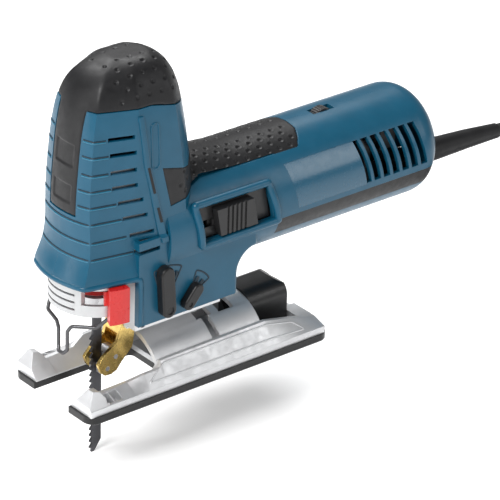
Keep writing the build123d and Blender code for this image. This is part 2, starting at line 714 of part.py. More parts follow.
def side_lever(pivot, length, width, angle, height, dimple, cam):
    """A lever lying on the housing's near side, with its shaft and cam through the wall."""
    with BuildPart() as lever:
        with BuildSketch(Plane.XZ.offset(-lever_face_y)):
            with Locations(Location((pivot[0], pivot[1], 0), (0, 0, angle))):
                with Locations((0, length / 2)):
                    SlotCenterToCenter(length, width, rotation=90)
        extrude(amount=height)
        fillet(lever.faces().sort_by(Axis.Y)[0].edges(), 1.2)
        with Locations(Location((pivot[0], lever_face_y - height, pivot[1]), (90, 0, 0))):
            Cylinder(dimple, 1.2, mode=Mode.SUBTRACT)
        with Locations(Location((pivot[0], lever_face_y + lever_boss / 2, pivot[1]), (90, 0, 0))):
            Cylinder(boss_radius, lever_boss + 0.2)
        with Locations(Location((pivot[0], lever_face_y + lever_boss + cam / 2, pivot[1]), (90, 0, 0))):
            Cylinder(boss_radius - 1.0, cam)
            with Locations((0, 0, -0.2)):
                Box(2 * boss_radius - 0.6, 2.4, cam + 0.4)
    return lever.part


orbit_lever = side_lever(lever_pivot, 23.0, 9.5, 4, 5.5, 2.6, 4.0)
blower_lever = side_lever(blower_pivot, 9.5, 7.5, -40, 5.0, 1.6, 2.0)

# ================= switch and speed dial =================
panel_y = -30.5
panel_thickness = 1.6
slider_travel = 6.0
slider_front_x, slider_length, slider_height = 1.5, 27.0, 5.2
rod_thickness = 1.6
switch_z = 101.0
leg_x, leg_length = 6.0, 8.0
module_x = 35.5
with BuildPart() as switch_panel:
    add(side_region(recess_x0 + clear, recess_x1 - clear, recess_z0 + clear, recess_z1 - clear, 4, -1))
    with Locations((15, panel_y - 10, 100)):
        Box(90, 20, 60, mode=Mode.SUBTRACT)
    with Locations((15, panel_y + panel_thickness + 30, 100)):
        Box(90, 60, 60, mode=Mode.SUBTRACT)
    with Locations((leg_x - slider_travel / 2, panel_y, switch_z)):
        Box(leg_length + slider_travel + 2, 12, 4.2 + 2 * clear, mode=Mode.SUBTRACT)
with BuildPart() as switch_slider:
    with BuildSketch(Plane.XZ.offset(-(panel_y - clear))):
        with BuildLine():
            z0, z1 = recess_z0 + 1.2, recess_z1 - 2.6
            lean = 3.4
            Polyline((slider_front_x + lean, z0), (slider_front_x + slider_length + lean, z0),
                     (slider_front_x + slider_length, z1), (slider_front_x, z1), close=True)
        make_face()
    extrude(amount=slider_height)
    for i in range(5):
        with Locations((slider_front_x + 8.2 + 3.2 * i, panel_y - clear - slider_height, switch_z)):
            Box(1.5, 1.6, 30, mode=Mode.SUBTRACT)
    with Locations((leg_x, panel_y + panel_thickness / 2, switch_z)):
        Box(leg_length, panel_thickness + 2 * clear, 4.2)
rod_y = panel_y + panel_thickness + clear + rod_thickness / 2
with BuildPart() as switch_rod:
    with Locations((15, rod_y, switch_z)):
        Box(30, rod_thickness, 6)
with BuildPart() as switch_module:
    with Locations((module_x, -21, switch_z)):
        Box(8, 13.4, 16)
    with Locations((module_x - 4.4, rod_y, switch_z)):
        Box(0.8, 1.4, 5)
with BuildPart() as speed_dial:
    with Locations(Location((dial_x, 0, dial_z), (90, 0, 0))):
        Cylinder(dial_radius, dial_width)
        with PolarLocations(dial_radius, 30):
            Cylinder(0.45, dial_width + 1, mode=Mode.SUBTRACT)
        Cylinder(2.0 + running, 20, mode=Mode.SUBTRACT)
with BuildPart() as dial_module:
    with Locations(Location((dial_x, 0, dial_z), (90, 0, 0))):
        Cylinder(2.0, dial_width + 6)
    dial_foot_z = dial_z - dial_radius - 1.6
    dial_ear_z = barrel_z + barrel_radius - wall - 0.8
    for side in (1, -1):
        with Locations((dial_x, side * (dial_width / 2 + clear + 1.0), (dial_foot_z + dial_ear_z) / 2)):
            Box(9, 2.0, dial_ear_z - dial_foot_z)
    with Locations((dial_x, 0, dial_foot_z)):
        Box(9, dial_width + 2 * clear + 4.0, 1.6)

# ================= footplate =================
# Ridge of each rail: place along the tool, distance from the middle, height.
rail_stations = [(-76.0, 24.5, 12.8), (-55.0, 25.0, 13.6), (-45.0, 28.4, 17.0), (-33.6, 28.8, 17.4),
                 (-31.6, 25.8, 20.8), (46.0, 25.5, 21.4), (85.5, 24.0, 11.8)]
edge_half = sole_width / 2 - shoe_lip
plate_z = 8.0
nose_peak_z = 18.4
rail_rear_x = 86.5
rail_front_x = -87.2


def rail(side):
    """One side of the casting: its top rises from the outer edge to an inner ridge."""
    with BuildPart() as piece:
        for x, ridge_y, ridge_z in rail_stations:
            with BuildSketch(Plane.YZ.offset(x)):
                Polygon((side * edge_half, shoe_thickness), (side * edge_half, rail_edge_z),
                        (side * (ridge_y + 2.2), ridge_z), (side * ridge_y, ridge_z),
                        (side * slot_half, slot_half - tilt_bevel), (side * slot_half, shoe_thickness),
                        align=None)
        loft(ruled=True)
    return piece.part


def nose(side):
    """The raised front end of a prong, with its inner side cut back for the tilt."""
    with BuildPart() as piece:
        with BuildSketch(Plane.XZ.offset(-side * slot_half)):
            Polygon((-72, shoe_thickness), (rail_front_x, shoe_thickness), (rail_front_x, 10.5),
                    (-82.5, nose_peak_z), (-78, nose_peak_z - 1.2), (-74, 12), align=None)
        extrude(amount=-side * (edge_half - slot_half))
        with BuildSketch(Plane.YZ.offset(-95)):
            Polygon((side * (slot_half - 6), slot_half - tilt_bevel), (side * slot_half, slot_half - tilt_bevel),
                    (side * 22.5, 12), (side * 27, 19), (side * 27, 25), (side * (slot_half - 6), 25),
                    align=None)
            Polygon((side * (edge_half + 1), 8), (side * (edge_half - 0.5), 9), (side * 31, 19),
                    (side * 31, 25), (side * (edge_half + 1), 25), align=None)
        extrude(amount=40, mode=Mode.SUBTRACT)
    return piece.part


slit_half = bolt_radius + clear
port_radius = 11.0
port_z = 20.5
with BuildPart() as base_plate:
    for side in (1, -1):
        add(rail(side))
        add(nose(side))
    # Floor between the rails, behind the slot, and the rear crossbar.
    with Locations(((slot_end_x + rail_rear_x) / 2, 0, (shoe_thickness + plate_z) / 2)):
        Box(rail_rear_x - slot_end_x, 2 * slot_half + 2, plate_z - shoe_thickness)
    with Locations((rail_rear_x - 5.5, 0, (shoe_thickness + 12) / 2)):
        Box(9, 2 * slot_half + 14, 12 - shoe_thickness)
    with Locations(Location((rail_rear_x - 5.5, 0, port_z), (0, 90, 0))):
        Cylinder(port_radius + clear, 20, mode=Mode.SUBTRACT)  # room for a hose end
    # Saddle round the tilt axis, with its two windows and the slit for the clamp bolt.
    with BuildSketch(Plane.YZ.offset(arch_front_x)):
        Circle(arch_radius)
        Circle(arch_radius - arch_wall, mode=Mode.SUBTRACT)
        with Locations((0, -20 + plate_z)):
            Rectangle(100, 40, mode=Mode.SUBTRACT)
    extrude(amount=arch_rear_x - arch_front_x)
    for x0, x1 in ((6.0, 17.0), (22.5, 33.5)):
        with Locations(((x0 + x1) / 2, 0, 35)):
            Box(x1 - x0, 27, 18, mode=Mode.SUBTRACT)
    with Locations((bolt_x, 0, 30.4)):
        Box(2 * slit_half, 50.4, 28, mode=Mode.SUBTRACT)
    # Pockets and the sunk panel on the rails.
    for side in (1, -1):
        for x in (-72.5, -66.5):
            with Locations((x, side * 31.5, 11)):
                Box(5.0, 7.0, 9, mode=Mode.SUBTRACT)

with BuildPart() as glide_shoe:
    with BuildSketch():
        RectangleRounded(sole_length, sole_width, 7)
        with Locations(((-sole_length / 2 + slot_end_x) / 2 - 5, 0)):
            RectangleRounded(sole_length / 2 + slot_end_x + 10, 2 * slot_half, 3, mode=Mode.SUBTRACT)
    extrude(amount=shoe_thickness)
    fillet(glide_shoe.faces().sort_by(Axis.Z)[0].outer_wire().edges(), 1.0)
    with Locations((42, 0, 0)):
        Box(60, 26, 2, mode=Mode.SUBTRACT)

with BuildPart() as clamp_bar:
    with Locations((6, 0, 26.5)):
        Box(28, 8, 6)
    with BuildSketch(Plane.YZ.offset(-20)):
        Circle(60)
        Circle(arch_radius - arch_wall - clear, mode=Mode.SUBTRACT)
    extrude(amount=60, mode=Mode.SUBTRACT)
    with Locations((bolt_x, 0, 26)):
        Cylinder(bolt_radius + seat, 20, mode=Mode.SUBTRACT)
with BuildPart() as clamp_bolt:
    with Locations((bolt_x, 0, 40.75)):
        Cylinder(bolt_radius, 34.5)
    with Locations((bolt_x, 0, 21.75)):
        Cylinder(4.2, 3.5)
    with BuildSketch(Plane.XY.offset(20)):
        with Locations((bolt_x, 0)):
            RegularPolygon(2.3, 6)
    extrude(amount=2.2, mode=Mode.SUBTRACT)

port_rear_x = 74.0
with BuildPart() as dust_port:
    add(side_prism([(arch_rear_x + seat, plate_z), (arch_rear_x + seat, 33), (56, 33), (70, 33),
                    (port_rear_x, 31), (port_rear_x, plate_z)], 14.5))
    fillet(dust_port.edges().filter_by(Axis.X).group_by(Axis.Z)[-1], 9)
    with Locations(Location((50, 0, port_z), (0, 90, 0))):
        Cylinder(port_radius, 80, mode=Mode.SUBTRACT)

# ================= screws =================
with BuildPart() as housing_screws:
    for x, z in screw_places:
        with Locations(Location((x, (screw_tip_y + seat + head_y + 1) / 2, z), (90, 0, 0))):
            Cylinder(screw_hole - seat, head_y + 1 - screw_tip_y - seat)
        with Locations(Location((x, head_y + seat + 1.4, z), (90, 0, 0))):
            Cylinder(screw_head - clear, 2.8)

# ================= cord =================
sleeve_stations = [(sleeve_tail_x, 79.5, 4.75), (sleeve_front_x, 79.5, 4.76), (sleeve_front_x + 0.5, 79.5, 7.0), (178.0, 79.5, 7.2), (200.0, 79.2, 7.1), (226.0, 78.4, 6.0),
                   (sleeve_rear_x, tube_z, 4.75)]
with BuildPart() as cord_sleeve:
    for x, z, r in sleeve_stations:
        with BuildSketch(Plane.YZ.offset(x)):
            with Locations((0, z)):
                Circle(r)
    loft(ruled=True)
    with Locations(Location((sleeve_front_x - 1.5, 0, 79.5), (0, 90, 0))):
        Cylinder(9.5, 3)
with BuildPart() as cord_clamp:
    for z in (sleeve_z - 6.8, sleeve_z + 6.8):
        with Locations((160, 0, z)):
            Box(7, 34, 3.5)
    for y in (-12, 12):
        with Locations((160, y, 79.5)):
            Cylinder(1.8, 12)
with BuildPart() as electronics_module:
    electronics_z = barrel_z + math.sqrt((cavity_radius - clear)**2 - 17**2) - 11
    with Locations((146, 0, electronics_z)):
        Box(12, 34, 22)
    with Locations((139.9, 0, electronics_z)):
        Box(0.8, 26, 14)

cord_start = (sleeve_rear_x + clear, 0.0, tube_z)
coil_x, coil_y = 318.0, -24.0
turn_radii = [34.0, 42.0, 50.0]
tie_thickness = 0.8
coil_z0 = cord_floor_z + tie_thickness
coil_layers = 3
coil_top_z = coil_z0 + 2 * cord_radius * coil_layers
cord_route = [cord_start, (277, 0.8, 75.5), (302, 5, 67), (322, 12, 50), (338, 19, 28), (350, 21, 4),
              (361.5, 12.5, -18), (368.5, -7, -32.5), (coil_x + 49.4, coil_y - 8, coil_z0 + cord_radius)]
plug_z = coil_top_z + 10.3
plug_rear_x = coil_x + 2.0
plug_y = coil_y - 40.0
tail_route = [(coil_x + 36, coil_y + 22, coil_z0 + 22), (coil_x + 41, coil_y + 5, coil_z0 + 27.5),
              (coil_x + 39, coil_y - 12, coil_z0 + 29), (coil_x + 31, coil_y - 28, coil_z0 + 31),
              (coil_x + 18, coil_y - 37.5, plug_z - 1.1), (plug_rear_x + 1.0, plug_y, plug_z)]


def cord_along(points):
    """A round cord along straight runs joined by arcs as large as the runs allow."""
    p = [Vector(*q) for q in points]
    radii = []
    for a, b, c in zip(p, p[1:], p[2:]):
        turn = math.radians((b - a).get_angle(c - b))
        radii.append(0.45 * min((b - a).length, (c - b).length) / math.tan(turn / 2))
    with BuildPart() as tube:
        with BuildLine() as line:
            FilletPolyline(*points, radius=radii)
        with BuildSketch(Plane(line.line @ 0, z_dir=line.line % 0)):
            Circle(cord_radius)
        sweep()
    length = sum(edge.length for edge in line.edges())
    ideal = math.pi * cord_radius**2 * length
    print("cord radii", [round(r) for r in radii], "length", round(length, 1),
          "volume ratio", round(tube.part.volume / ideal, 4))
    return tube.part


with BuildPart() as cord_tube:
    add(cord_along(cord_route))
    add(cord_along(tail_route))
with BuildPart() as cord_coil:
    with Locations((coil_x, coil_y, coil_z0 + cord_radius * coil_layers)):
        Cylinder(turn_radii[-1] + cord_radius, 2 * cord_radius * coil_layers)
        Cylinder(turn_radii[0] - cord_radius, 2 * cord_radius * coil_layers, mode=Mode.SUBTRACT)
with BuildPart() as cord_tie:
    with Locations((coil_x - (turn_radii[0] + turn_radii[-1]) / 2, coil_y, (coil_z0 + coil_top_z) / 2)):
        Box(turn_radii[-1] - turn_radii[0] + 2 * cord_radius + 2 * tie_thickness, 9,
            coil_top_z - coil_z0 + 2 * tie_thickness)
    add(cord_coil.part, mode=Mode.SUBTRACT)
with BuildPart() as plug_body:
    for x, w, h in ((plug_rear_x, 9.0, 9.0), (plug_rear_x - 22, 12.0, 12.0), (plug_rear_x - 30, 26.0, 17.0),
                    (plug_rear_x - 44, 35.0, 20.0), (plug_rear_x - 58, 35.0, 20.0)):
        with BuildSketch(Plane.YZ.offset(x)):
            with Locations((plug_y, plug_z)):
                RectangleRounded(w, h, min(w, h) * 0.45)
    loft(ruled=True)
with BuildPart() as plug_pins:
    for y in (-9.5, 9.5):
        with Locations(Location((plug_rear_x - 58 - 9.5, plug_y + y, plug_z), (0, 90, 0))):
            Cylinder(2.4, 19)

# ================= all the pieces =================
pieces = {
    "housing_left": housing["left"].part,
    "housing_right": housing["right"].part,
    "side_strip_left": strips["left"].part,
    "side_strip_right": strips["right"].part,
    "label_plate_left": labels["left"].part,
    "label_plate_right": labels["right"].part,
    "knob_grip": knob_grip.part,
    "barrel_grip": barrel_grip.part,
    "housing_screws": housing_screws.part,
    "gear_case": gear_case.part,
    "bulkhead": bulkhead.part,
    "guide_bushes": guide_bushes.part,
    "front_guard": front_guard.part,
    "wire_guard": wire_guard.part,
    "gear_pin": gear_pin,
    "front_bearing": front_bearing,
    "rear_bearing": rear_bearing,
    "rear_bearing_cap": rear_bearing_cap.part,
    "stator_core": stator_core.part,
    "field_coils": field_coils.part,
    "brush_holders": brush_holders.part,
    "carbon_brushes": carbon_brushes.part,
    "armature_shaft": armature_shaft.part,
    "armature_core": armature_core.part,
    "commutator": commutator.part,
    "cooling_fan": cooling_fan.part,
    "drive_gear": drive_gear.part,
    "counterweight": counterweight.part,
    "crank_pin": crank_pin.part,
    "plunger": plunger.part,
    "yoke": yoke.part,
    "blade_clamp": blade_clamp.part,
    "saw_blade": saw_blade.part,
    "release_lever": release_lever.part,
    "roller_fork": roller_fork.part,
    "fork_pivot_pin": fork_pivot_pin,
    "roller_pin": roller_pin,
    "guide_roller": guide_roller.part,
    "guide_jaws": guide_jaws.part,
    "orbit_lever": orbit_lever,
    "blower_lever": blower_lever,
    "switch_panel": switch_panel.part,
    "switch_slider": switch_slider.part,
    "switch_rod": switch_rod.part,
    "switch_module": switch_module.part,
    "speed_dial": speed_dial.part,
    "dial_module": dial_module.part,
    "electronics_module": electronics_module.part,
    "base_plate": base_plate.part,
    "glide_shoe": glide_shoe.part,
    "clamp_bar": clamp_bar.part,
    "clamp_bolt": clamp_bolt.part,
    "dust_port": dust_port.part,
    "cord_sleeve": cord_sleeve.part,
    "cord_clamp": cord_clamp.part,
    "cord_tube": cord_tube.part,
    "cord_coil": cord_coil.part,
    "cord_tie": cord_tie.part,
    "plug_body": plug_body.part,
    "plug_pins": plug_pins.part,
}
for label, part in pieces.items():
    part.label = label
    export_step(part, f"parts/{label}.step")
print(len(pieces), "pieces")
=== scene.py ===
import json
import math

import bmesh
import bpy
import numpy as np
from mathutils import Matrix, Vector
from mathutils.bvhtree import BVHTree


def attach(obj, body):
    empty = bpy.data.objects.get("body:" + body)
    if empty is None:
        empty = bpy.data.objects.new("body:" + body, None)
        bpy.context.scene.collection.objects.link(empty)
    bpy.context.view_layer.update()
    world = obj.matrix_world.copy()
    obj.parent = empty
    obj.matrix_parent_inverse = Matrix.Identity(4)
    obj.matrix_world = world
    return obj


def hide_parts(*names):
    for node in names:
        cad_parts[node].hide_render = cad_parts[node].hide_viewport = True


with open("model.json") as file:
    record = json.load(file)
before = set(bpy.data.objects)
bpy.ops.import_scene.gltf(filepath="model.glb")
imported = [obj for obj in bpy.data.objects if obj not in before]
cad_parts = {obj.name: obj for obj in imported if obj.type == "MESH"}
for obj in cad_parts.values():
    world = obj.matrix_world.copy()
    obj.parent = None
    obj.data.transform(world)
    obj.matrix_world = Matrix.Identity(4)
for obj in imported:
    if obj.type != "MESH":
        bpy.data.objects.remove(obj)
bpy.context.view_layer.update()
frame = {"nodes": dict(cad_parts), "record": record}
nodes = frame["nodes"]
scene = bpy.context.scene
MM = 0.001
BARREL_Z = 97.2  # height of the barrel's axis, mm
COLUMN_X = -52.0  # middle of the column, mm
GRIP_VOXEL = 0.62
DIMPLE_RADIUS, DIMPLE_DEPTH = 1.4, 0.75

# ---- camera, floor and light ----
CAMERA_TARGET = Vector((0.05632, 0.0, 0.05348))
CAMERA_RIGHT = Vector((0.7765, -0.6296, 0.0260))
CAMERA_UP = Vector((0.2722, 0.3722, 0.8873))
CAMERA_BACK = Vector((-0.5683, -0.6819, 0.4604))
CAMERA_DISTANCE = 2.10028
FLOOR_Z = -43.2 * MM

camera_data = bpy.data.cameras.new("camera")
camera_data.sensor_width = 36.0
camera_data.lens = 256.4
camera_data.clip_start, camera_data.clip_end = 0.05, 50.0
camera = bpy.data.objects.new("camera", camera_data)
scene.collection.objects.link(camera)
back = CAMERA_BACK.normalized()
right = CAMERA_UP.cross(back).normalized()
up = back.cross(right)
camera.matrix_world = Matrix.Translation(CAMERA_TARGET + back * CAMERA_DISTANCE) @ Matrix(
    (right, up, back)).transposed().to_4x4()
scene.camera = camera


def new_object(name, vertices, faces, smooth=True):
    mesh = bpy.data.meshes.new(name)
    mesh.from_pydata([tuple(v) for v in vertices], [], faces)
    mesh.update()
    if smooth:
        mesh.shade_smooth()
    piece = bpy.data.objects.new(name, mesh)
    scene.collection.objects.link(piece)
    return piece


FLOOR_HALF = 6.0
floor_corners = [(x * FLOOR_HALF, y * FLOOR_HALF, FLOOR_Z) for x, y in ((-1, -1), (1, -1), (1, 1), (-1, 1))]
floor = new_object("floor", floor_corners, [(0, 1, 2, 3)], smooth=False)

world = bpy.data.worlds.new("studio")
scene.world = world
world.use_nodes = True
sky = world.node_tree.nodes["Background"]
sky.inputs["Color"].default_value = (1.0, 1.0, 1.0, 1.0)
sky.inputs["Strength"].default_value = 0.28
scene.view_settings.view_transform = "Standard"


def area_light(name, place, aim, size, power):
    data = bpy.data.lights.new(name, "AREA")
    data.shape = "RECTANGLE"
    data.size, data.size_y = size
    data.energy = power
    lamp = bpy.data.objects.new(name, data)
    scene.collection.objects.link(lamp)
    lamp.location = place
    lamp.rotation_euler = (Vector(aim) - Vector(place)).to_track_quat("-Z", "Y").to_euler()
    return lamp


area_light("key", (-1.1, -0.35, 1.25), (0.0, 0.0, 0.1), (0.7, 0.5), 24)
area_light("top", (0.25, 0.7, 1.15), (0.05, 0.0, 0.1), (1.2, 0.45), 15)
area_light("left", (-1.3, 0.5, 0.35), (-0.05, 0.0, 0.1), (0.25, 0.9), 4)
area_light("right", (1.0, -1.1, 0.7), (0.1, 0.0, 0.08), (0.4, 0.8), 3.5)
area_light("front", (-0.6, -1.6, 0.35), (0.0, 0.0, 0.0), (0.8, 0.3), 2.5)

# ---- materials ----


def material(name, colour, rough, metallic=0.0, grain=None, mottle=0.0, rough_spread=0.0, edge=0.0, bevel=0.35,
             coat=0.0, scratches=0.0, specular=0.5, layers=None):
    """A surface with a fine grain, uneven gloss, faint mottling, softened edges and worn corners."""
    m = bpy.data.materials.new(name)
    m.use_nodes = True
    tree = m.node_tree
    n, link = tree.nodes, tree.links
    shader = n["Principled BSDF"]
    shader.inputs["Metallic"].default_value = metallic
    shader.inputs["Roughness"].default_value = rough
    shader.inputs["Specular IOR Level"].default_value = specular
    if coat:
        shader.inputs["Coat Weight"].default_value = coat
        shader.inputs["Coat Roughness"].default_value = 0.15
    place = n.new("ShaderNodeTexCoord").outputs["Object"]

    def noise(scale, detail=2.0, where=place):
        node = n.new("ShaderNodeTexNoise")
        node.inputs["Scale"].default_value = scale
        node.inputs["Detail"].default_value = detail
        link.new(where, node.inputs["Vector"])
        return node.outputs["Fac"]

    def ramp(fac, low, high, a, b):
        node = n.new("ShaderNodeMapRange")
        node.inputs["From Min"].default_value, node.inputs["From Max"].default_value = low, high
        node.inputs["To Min"].default_value, node.inputs["To Max"].default_value = a, b
        link.new(fac, node.inputs["Value"])
        return node.outputs["Result"]

    def mix(fac, a, b):
        node = n.new("ShaderNodeMix")
        node.data_type = "RGBA"
        link.new(fac, node.inputs["Factor"])
        for socket, value in ((node.inputs["A"], a), (node.inputs["B"], b)):
            if isinstance(value, tuple):
                socket.default_value = (*value, 1.0)
            else:
                link.new(value, socket)
        return node.outputs["Result"]

    dark = tuple(c * (1 - mottle) for c in colour)
    light = tuple(min(1.0, c * (1 + mottle) + 0.002) for c in colour)
    look = mix(ramp(noise(90.0, 4.0), 0.3, 0.7, 0.0, 1.0), dark, light)
    if edge:
        pointed = n.new("ShaderNodeNewGeometry").outputs["Pointiness"]
        worn = tuple(min(1.0, c * 1.6 + 0.05) for c in colour)
        look = mix(ramp(pointed, 0.53, 0.62, 0.0, edge), look, worn)
    link.new(look, shader.inputs["Base Color"])
    if rough_spread:
        gloss = ramp(noise(260.0, 3.0), 0.3, 0.7, rough - rough_spread, rough + rough_spread)
        link.new(gloss, shader.inputs["Roughness"])
    normal = None
    if bevel:
        round_edge = n.new("ShaderNodeBevel")
        round_edge.samples = 4
        round_edge.inputs["Radius"].default_value = bevel * MM
        normal = round_edge.outputs["Normal"]
    heights = []
    if grain:
        heights.append((noise(grain[0], 3.0), grain[1]))
    if scratches:
        stretch = n.new("ShaderNodeMapping")
        stretch.inputs["Scale"].default_value = (40.0, 1500.0, 1500.0)
        link.new(place, stretch.inputs["Vector"])
        heights.append((noise(1.0, 3.0, stretch.outputs["Vector"]), scratches))
    if layers:
        bands = n.new("ShaderNodeTexWave")
        bands.bands_direction = layers[0]
        bands.inputs["Scale"].default_value = layers[1]
        link.new(place, bands.inputs["Vector"])
        heights.append((bands.outputs["Fac"], layers[2]))
    for height, distance in heights:
        bump = n.new("ShaderNodeBump")
        bump.inputs["Distance"].default_value = distance * MM
        bump.inputs["Strength"].default_value = 1.0
        link.new(height, bump.inputs["Height"])
        if normal is not None:
            link.new(normal, bump.inputs["Normal"])
        normal = bump.outputs["Normal"]
    if normal is not None:
        link.new(normal, shader.inputs["Normal"])
    return m


blue = material("blue_plastic", (0.002, 0.072, 0.132), 0.33, grain=(2600.0, 0.015), mottle=0.05,
                rough_spread=0.05, edge=0.04, specular=0.38)
label_blue = material("label_plastic", (0.002, 0.072, 0.132), 0.26, grain=(900.0, 0.004), mottle=0.03,
                      rough_spread=0.03, coat=0.3)
rubber = material("black_rubber", (0.007, 0.007, 0.008), 0.44, grain=(2600.0, 0.06), mottle=0.15,
                  rough_spread=0.07, edge=0.08, specular=0.32)
black = material("black_plastic", (0.007, 0.007, 0.0075), 0.34, grain=(2400.0, 0.02), mottle=0.1,
                 rough_spread=0.06, edge=0.15, specular=0.35)
red = material("red_plastic", (0.50, 0.006, 0.004), 0.30, grain=(1800.0, 0.008), mottle=0.04,
               rough_spread=0.05, edge=0.1)
die_cast = material("die_cast", (0.56, 0.565, 0.575), 0.40, metallic=0.6, grain=(1500.0, 0.03), mottle=0.06,
                    rough_spread=0.08, edge=0.4, bevel=0.5)
steel = material("machined_steel", (0.46, 0.46, 0.47), 0.34, metallic=0.85, grain=(1200.0, 0.008), mottle=0.06,
                 rough_spread=0.07, edge=0.3)
bright = material("bright_steel", (0.42, 0.425, 0.43), 0.36, metallic=0.7, grain=(900.0, 0.006), mottle=0.04,
                  rough_spread=0.06, edge=0.2)
gold = material("gold_zinc", (0.70, 0.47, 0.15), 0.26, metallic=1.0, grain=(700.0, 0.012), mottle=0.18,
                rough_spread=0.08, edge=0.3)
blade = material("blade_steel", (0.06, 0.06, 0.065), 0.34, metallic=1.0, scratches=0.02, mottle=0.08,
                 rough_spread=0.06, edge=0.4, bevel=0.1)
lamination = material("lamination", (0.16, 0.16, 0.17), 0.45, metallic=0.8, layers=("X", 600.0, 0.1),
                      mottle=0.1, bevel=0.2)
copper = material("copper", (0.60, 0.24, 0.10), 0.33, metallic=0.9, layers=("X", 400.0, 0.15), mottle=0.12, bevel=0.3)
carbon = material("carbon", (0.02, 0.02, 0.02), 0.6, grain=(900.0, 0.03), mottle=0.2)
cord_rubber = material("cord_rubber", (0.013, 0.013, 0.013), 0.45, grain=(1500.0, 0.02), mottle=0.12,
                       rough_spread=0.06, bevel=0)
brass = material("brass_pin", (0.62, 0.55, 0.40), 0.22, metallic=1.0, grain=(900.0, 0.006), mottle=0.05,
                 rough_spread=0.06)
floor_look = material("floor_paper", (0.93, 0.93, 0.93), 0.9, grain=(300.0, 0.02), mottle=0.01, bevel=0)
paper = floor_look.node_tree.nodes["Principled BSDF"]
paper.inputs["Emission Color"].default_value = (1.0, 1.0, 1.0, 1.0)
paper.inputs["Emission Strength"].default_value = 0.3
floor.data.materials.append(floor_look)
dark_wire = material("dark_wire", (0.10, 0.10, 0.105), 0.34, metallic=0.9, grain=(900.0, 0.006), mottle=0.06,
                     rough_spread=0.06)
by_slot = {"blue_plastic": blue, "label_plastic": label_blue, "black_rubber": rubber, "black_plastic": black,
           "red_plastic": red, "die_cast": die_cast, "machined_steel": steel, "bright_steel": bright, "gold_zinc": gold,
           "blade_steel": blade, "lamination": lamination, "copper": copper, "carbon": carbon,
           "cord_rubber": cord_rubber, "brass_pin": brass}
for entry in frame["record"]["subparts"]:
    for slot in nodes[entry["node"]].material_slots:
        slot.material = dark_wire if entry["node"] == "wire_guard" else by_slot[entry["material_slot"]]

# ---- cord: leaves the sleeve, bends down to the surface and lies there in a tied coil ----
CORD_RADIUS = 4.0
COIL_CENTRE = (318.0, -24.0)
COIL_Z = -42.4
TURN_RADII = [50.0, 42.0, 34.0, 34.0, 42.0, 50.0, 50.0, 42.0, 34.0]
LAYER_Z = [4.0, 4.0, 4.0, 12.0, 12.0, 12.0, 20.0, 20.0, 20.0]
POINTS_PER_TURN = 18
LAST_TURN = 12  # points of the last turn, which the cord leaves to cross the coil's top
PLUG_Z = COIL_Z + 34.3


def ease(t):
    t = min(1.0, max(0.0, t))
    return t * t * (3 - 2 * t)


def coil_point(angle, radius, z):
    """A point of the coil: angle in degrees, clockwise from above, starting at the rear."""
    a = math.radians(-angle)
    return (COIL_CENTRE[0] + radius * math.cos(a), COIL_CENTRE[1] + radius * math.sin(a), COIL_Z + z)


cord_points = [(251.3, 0, 77), (277, 0.8, 75.5), (302, 5, 67), (322, 12, 50), (338, 19, 28), (350, 21, 4),
               (361.5, 12.5, -18), (368.5, -7, -32.5)]
for i in range((len(TURN_RADII) - 1) * POINTS_PER_TURN + LAST_TURN):
    turn, local = divmod((i + 0.5) * 360 / POINTS_PER_TURN, 360)
    k = int(turn)
    following = min(k + 1, len(TURN_RADII) - 1)
    f = ease((local - 290) / 70)
    cord_points.append(coil_point(local, TURN_RADII[k] + (TURN_RADII[following] - TURN_RADII[k]) * f,
                                  LAYER_Z[k] + (LAYER_Z[following] - LAYER_Z[k]) * f))
cord_points += [coil_point(252, 34.0, 21.5), coil_point(270, 34.5, 24.5), coil_point(288, 36.0, 27.0),
                coil_point(308, 38.0, 28.2), coil_point(330, 40.0, 28.3), (359, -19, COIL_Z + 28.3),
                (357, -36, COIL_Z + 29), (349, -52, COIL_Z + 31), (336, -61.5, PLUG_Z - 1.1), (320.5, -64, PLUG_Z)]


def nurbs(name, points, radius):
    curve = bpy.data.curves.new(name, "CURVE")
    curve.dimensions = "3D"
    curve.bevel_depth = radius
    curve.bevel_resolution = 6
    curve.resolution_u = 6
    curve.use_fill_caps = True
    spline = curve.splines.new("NURBS")
    spline.points.add(len(points) - 1)
    for p, q in zip(spline.points, points):
        p.co = (q[0] * MM, q[1] * MM, q[2] * MM, 1.0)
    spline.order_u = 3
    spline.use_endpoint_u = True
    piece = bpy.data.objects.new(name, curve)
    scene.collection.objects.link(piece)
    return piece


cord = nurbs("mains_cord", cord_points, CORD_RADIUS * MM)
cord.data.materials.append(cord_rubber)
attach(cord, "housing")
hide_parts("cord_tube", "cord_coil")

# ---- helpers for pieces made on the surface of the CAD model ----
def tree_of(*names):
    """A tree of the triangles of some nodes, in millimetres, for casting rays."""
    vertices, faces = [], []
    for name in names:
        mesh = nodes[name].data
        start = len(vertices)
        vertices += [tuple(c / MM for c in v.co) for v in mesh.vertices]
        faces += [tuple(start + i for i in p.vertices) for p in mesh.polygons]
    return BVHTree.FromPolygons(vertices, faces)


def cast(tree, start, towards):
    direction = (Vector(towards) - Vector(start)).normalized()
    place, normal, _, _ = tree.ray_cast(Vector(start), direction)
    if place is None:
        return None, None
    if normal.dot(direction) > 0:
        normal = -normal
    return place, normal


def finish_piece(piece, look, body):
    """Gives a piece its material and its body."""
    piece.data.materials.clear()
    piece.data.materials.append(look)
    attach(piece, body)
    return piece


